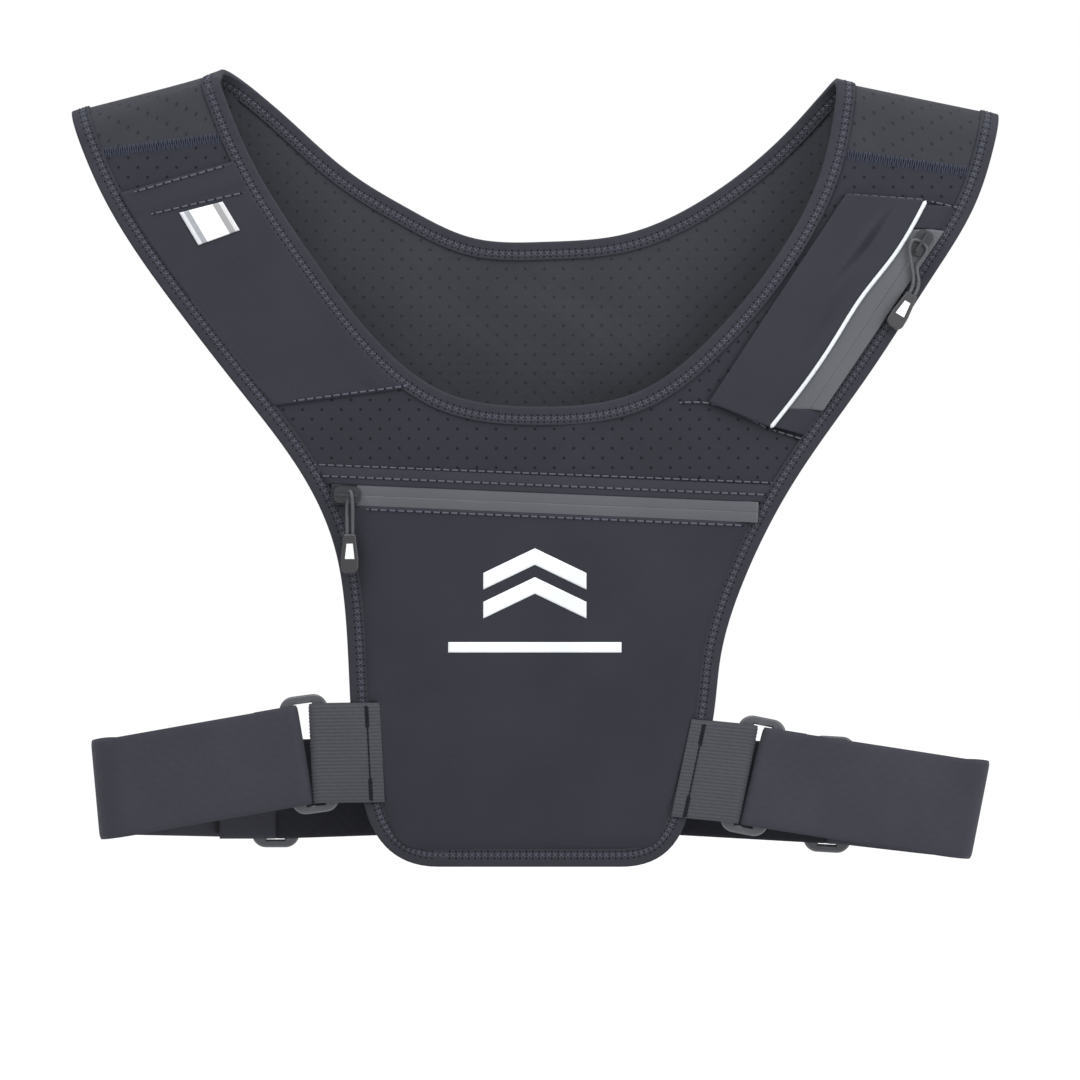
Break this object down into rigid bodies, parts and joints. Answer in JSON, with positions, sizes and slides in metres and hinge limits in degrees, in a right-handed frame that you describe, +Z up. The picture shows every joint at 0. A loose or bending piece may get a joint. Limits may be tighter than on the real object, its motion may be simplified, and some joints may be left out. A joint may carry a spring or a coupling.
{
  "type": "chest phone vest",
  "caption": "Pull-over sports chest vest in perforated neoprene with a zipped phone pocket, strap pockets and elastic side straps on plastic rings.",
  "frame": {"origin": "where the shoulders carry the vest, midway between the two strap folds", "axes": "+X along the chest towards the viewer's right, -Y out of the chest pocket, +Z up"},
  "size_m": [0.4537, 0.0431, 0.394],
  "materials": {
    "neoprene": "perforated knit-faced neoprene",
    "binding": "soft knitted edge binding",
    "pocket_cloth": "smooth stretch knit",
    "lining": "thin woven lining",
    "webbing": "ribbed polyester webbing",
    "elastic": "brushed knitted elastic",
    "zip_tape": "satin coated water-repellent zip tape",
    "zip_coil": "nylon coil",
    "slider": "satin black enamel",
    "cord": "round braided cord",
    "tip": "soft moulded plastic",
    "mark": "white printed mark",
    "ring": "satin moulded acetal",
    "reflective": "glass-bead reflective cloth",
    "piping": "silver reflective piping",
    "print": "reflective heat-transfer film",
    "hook": "hook and loop patch",
    "stitching": "flat zigzag seam thread"
  },
  "bodies": {
    "vest": {"front_panel": "neoprene", "back_panel": "neoprene", "outer_binding": "binding", "neck_binding": "binding", "main_pocket_panel": "pocket_cloth", "main_pocket_lining": "lining", "main_zip_welt": "pocket_cloth", "reflective_print": "print", "slip_pocket_panel": "pocket_cloth", "reflective_tag": "reflective", "zip_pocket_panel": "pocket_cloth", "zip_pocket_facing": "pocket_cloth", "zip_pocket_piping": "piping", "main_zip_upper_tape": "zip_tape", "main_zip_lower_tape": "zip_tape", "main_zip_coil": "zip_coil", "main_zip_stops": "zip_coil", "shoulder_zip_inner_tape": "zip_tape", "shoulder_zip_outer_tape": "zip_tape", "shoulder_zip_coil": "zip_coil", "shoulder_zip_stops": "zip_coil", "left_front_tab": "webbing", "right_front_tab": "webbing", "left_rear_tab": "webbing", "right_rear_tab": "webbing", "left_shoulder_seam": "stitching", "right_shoulder_seam": "stitching"},
    "main_slider": {"main_slider": "slider"},
    "main_pull": {"main_pull_cord": "cord", "main_pull_tip": "tip", "main_pull_mark": "mark"},
    "shoulder_slider": {"shoulder_slider": "slider"},
    "shoulder_pull": {"shoulder_pull_cord": "cord", "shoulder_pull_tip": "tip", "shoulder_pull_mark": "mark"},
    "left_strap": {"left_front_ring": "ring", "left_elastic": "elastic", "left_rear_ring": "ring", "left_hook_patch": "hook"},
    "right_strap": {"right_front_ring": "ring", "right_elastic": "elastic", "right_rear_ring": "ring", "right_hook_patch": "hook"}
  },
  "joints": [
    {"name": "main_zip_slide", "type": "slide", "parent": "vest", "child": "main_slider", "axis": [0.9991, 0, -0.0425], "range_m": [0, 0.1915]},
    {"name": "main_pull_lift", "type": "hinge", "parent": "main_slider", "child": "main_pull", "pos_m": [-0.0908, -0.0226, -0.19418], "axis": [-0.9991, 0, 0.0425], "range_deg": [0, 150]},
    {"name": "shoulder_zip_slide", "type": "slide", "parent": "vest", "child": "shoulder_slider", "axis": [-0.5538, 0, -0.8327], "range_m": [0, 0.0885]},
    {"name": "shoulder_pull_lift", "type": "hinge", "parent": "shoulder_slider", "child": "shoulder_pull", "pos_m": [0.18717, -0.0208, -0.072], "axis": [-0.8327, 0, 0.5538], "range_deg": [0, 150]},
    {"name": "left_strap_swing", "type": "hinge", "parent": "vest", "child": "left_strap", "pos_m": [-0.10385, -0.01425, -0.31924], "axis": [-0.134, 0, 0.991], "range_deg": [-8, 8]},
    {"name": "right_strap_swing", "type": "hinge", "parent": "vest", "child": "right_strap", "pos_m": [0.10041, -0.01425, -0.32938], "axis": [0.196, 0, 0.9806], "range_deg": [-8, 8]}
  ]
}
